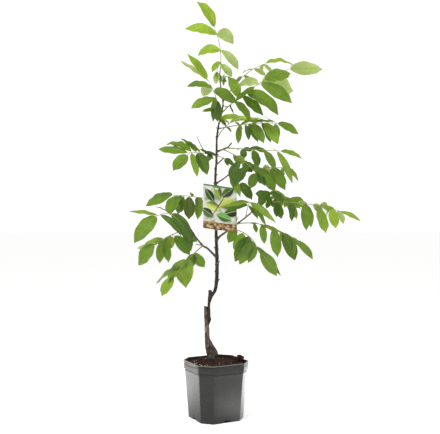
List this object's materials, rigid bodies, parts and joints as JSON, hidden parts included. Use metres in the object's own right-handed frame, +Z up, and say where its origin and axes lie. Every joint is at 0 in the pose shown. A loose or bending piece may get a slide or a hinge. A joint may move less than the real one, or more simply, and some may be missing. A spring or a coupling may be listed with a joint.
{
  "type": "potted walnut tree",
  "caption": "Young grafted walnut tree with a bowed leader, drooping compound leaves and a hanging plant label, standing in a square-shouldered nursery pot filled with bark mix.",
  "frame": {"origin": "centre of the flat underside of the pot", "axes": "+Z up along the tree, -Y to the front, +X to the right seen from the front; the pot stands turned about Z"},
  "size_m": [0.7312, 0.4455, 1.3174],
  "materials": {
    "pot_plastic": "dark grey moulded plastic, satin",
    "potting_mix": "damp bark and peat",
    "trunk_bark": "grey-brown bark, fissured low down and smooth above",
    "shoot_bark": "smooth young bark with pores",
    "foliage": "fresh green leaf, slightly waxy",
    "label_card": "printed plastic card",
    "strap_plastic": "plain plastic strap"
  },
  "bodies": {
    "root": {"pot": "pot_plastic", "soil": "potting_mix", "trunk": "trunk_bark", "label": "label_card", "label_strap": "strap_plastic", "bough_low_left": "shoot_bark", "bough_low_right": "shoot_bark", "bough_mid_right": "shoot_bark", "bough_inner_right": "shoot_bark", "foliage_top": "foliage", "foliage_top_left": "foliage", "foliage_top_right": "foliage", "foliage_top_back": "foliage", "foliage_upper_right": "foliage", "foliage_upper_back": "foliage", "foliage_mid_right": "foliage", "foliage_front_right": "foliage", "foliage_inner_right": "foliage", "foliage_right": "foliage", "foliage_label": "foliage", "foliage_low_right": "foliage", "foliage_low_front": "foliage", "foliage_low_back": "foliage", "foliage_upper_left": "foliage", "foliage_mid_back": "foliage", "foliage_mid_left": "foliage", "foliage_left": "foliage", "foliage_lowest_left": "foliage"}
  },
  "joints": []
}
